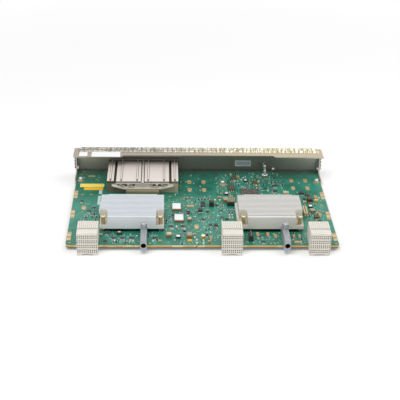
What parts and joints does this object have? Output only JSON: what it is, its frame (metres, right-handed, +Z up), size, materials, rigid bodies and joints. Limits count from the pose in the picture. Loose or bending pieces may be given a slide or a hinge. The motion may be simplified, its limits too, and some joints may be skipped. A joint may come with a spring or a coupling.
{
  "type": "switch line card",
  "caption": "Plug-in switch line card: circuit board with folded front panel, finned coolers, backplane receptacles, guide blocks and a caged module port with a riding cooler.",
  "frame": {"origin": "middle of the bounding box's base, on the surface that the card lies on", "axes": "+X along the card's width, +Y from the backplane edge to the front panel, +Z up from the board's component side"},
  "size_m": [0.316, 0.2056, 0.0378],
  "materials": {
    "solder_mask": "green solder mask over glass-epoxy laminate",
    "panel_steel": "zinc-plated sheet steel, satin",
    "gasket_metal": "tin-plated spring bronze, bright",
    "receptacle_moulding": "light grey glass-filled moulding",
    "wafer_moulding": "light grey moulding",
    "guide_casting": "die-cast zinc, satin",
    "cooler_aluminium": "machined, clear anodised",
    "substrate": "laminate substrate",
    "lid_nickel": "nickel-plated copper, satin",
    "pad": "soft gap filler",
    "fastener_steel": "zinc-plated",
    "spring_steel": "bright drawn wire",
    "cage_aluminium": "machined, warm grey anodised",
    "clip_steel": "stainless spring sheet",
    "cover_steel": "tin-plated sheet",
    "black_moulding": "black glass-filled moulding",
    "package_black": "black epoxy, fine matt",
    "clear_acrylic": "clear, polished",
    "module_cover": "nickel-plated sheet cover",
    "inductor_ferrite": "pressed ferrite, matt",
    "tantalum_amber": "moulded epoxy",
    "natural_nylon": "natural nylon",
    "socket_gold": "gold-plated"
  },
  "bodies": {
    "card": {"angled_header": "black_moulding", "board_screws": "fastener_steel", "board_socket": "natural_nylon", "cage_rail_left": "cage_aluminium", "cage_rail_right": "cage_aluminium", "circuit_board": "solder_mask", "clinch_nuts": "fastener_steel", "clock_modules": "module_cover", "cooler_left": "cooler_aluminium", "cooler_nuts": "fastener_steel", "cooler_right": "cooler_aluminium", "cooler_screws": "fastener_steel", "cooler_springs": "spring_steel", "crystals": "module_cover", "front_panel": "panel_steel", "gasket_left": "gasket_metal", "gasket_right": "gasket_metal", "gasket_top": "gasket_metal", "guide_block_left": "guide_casting", "guide_block_right": "guide_casting", "guide_block_screws": "fastener_steel", "host_connector": "black_moulding", "host_connector_cover": "cover_steel", "jumper_header": "black_moulding", "keyed_header": "natural_nylon", "light_pipe": "clear_acrylic", "logic_packages": "package_black", "memory_package": "package_black", "port_bezel": "cage_aluminium", "power_inductors": "inductor_ferrite", "processor_left": "substrate", "processor_lid_left": "lid_nickel", "processor_lid_right": "lid_nickel", "processor_right": "substrate", "receptacle_hood_left": "receptacle_moulding", "receptacle_hood_middle": "receptacle_moulding", "receptacle_hood_right": "receptacle_moulding", "receptacle_wafers_left": "wafer_moulding", "receptacle_wafers_middle": "wafer_moulding", "receptacle_wafers_right": "wafer_moulding", "regulators": "package_black", "side_screws": "fastener_steel", "small_outline_packages": "package_black", "status_light": "clear_acrylic", "tantalum_capacitors": "tantalum_amber", "test_socket": "socket_gold", "thermal_pad_left": "pad", "thermal_pad_right": "pad"},
    "floating_cooler": {"riding_cooler": "cage_aluminium", "spring_clip": "clip_steel"}
  },
  "joints": [
    {"name": "cooler_float", "type": "slide", "parent": "card", "child": "floating_cooler", "axis": [0, 0, 1], "range_m": [0, 0.001], "stiffness_N_per_m": 8000, "springref_m": -0.001}
  ]
}
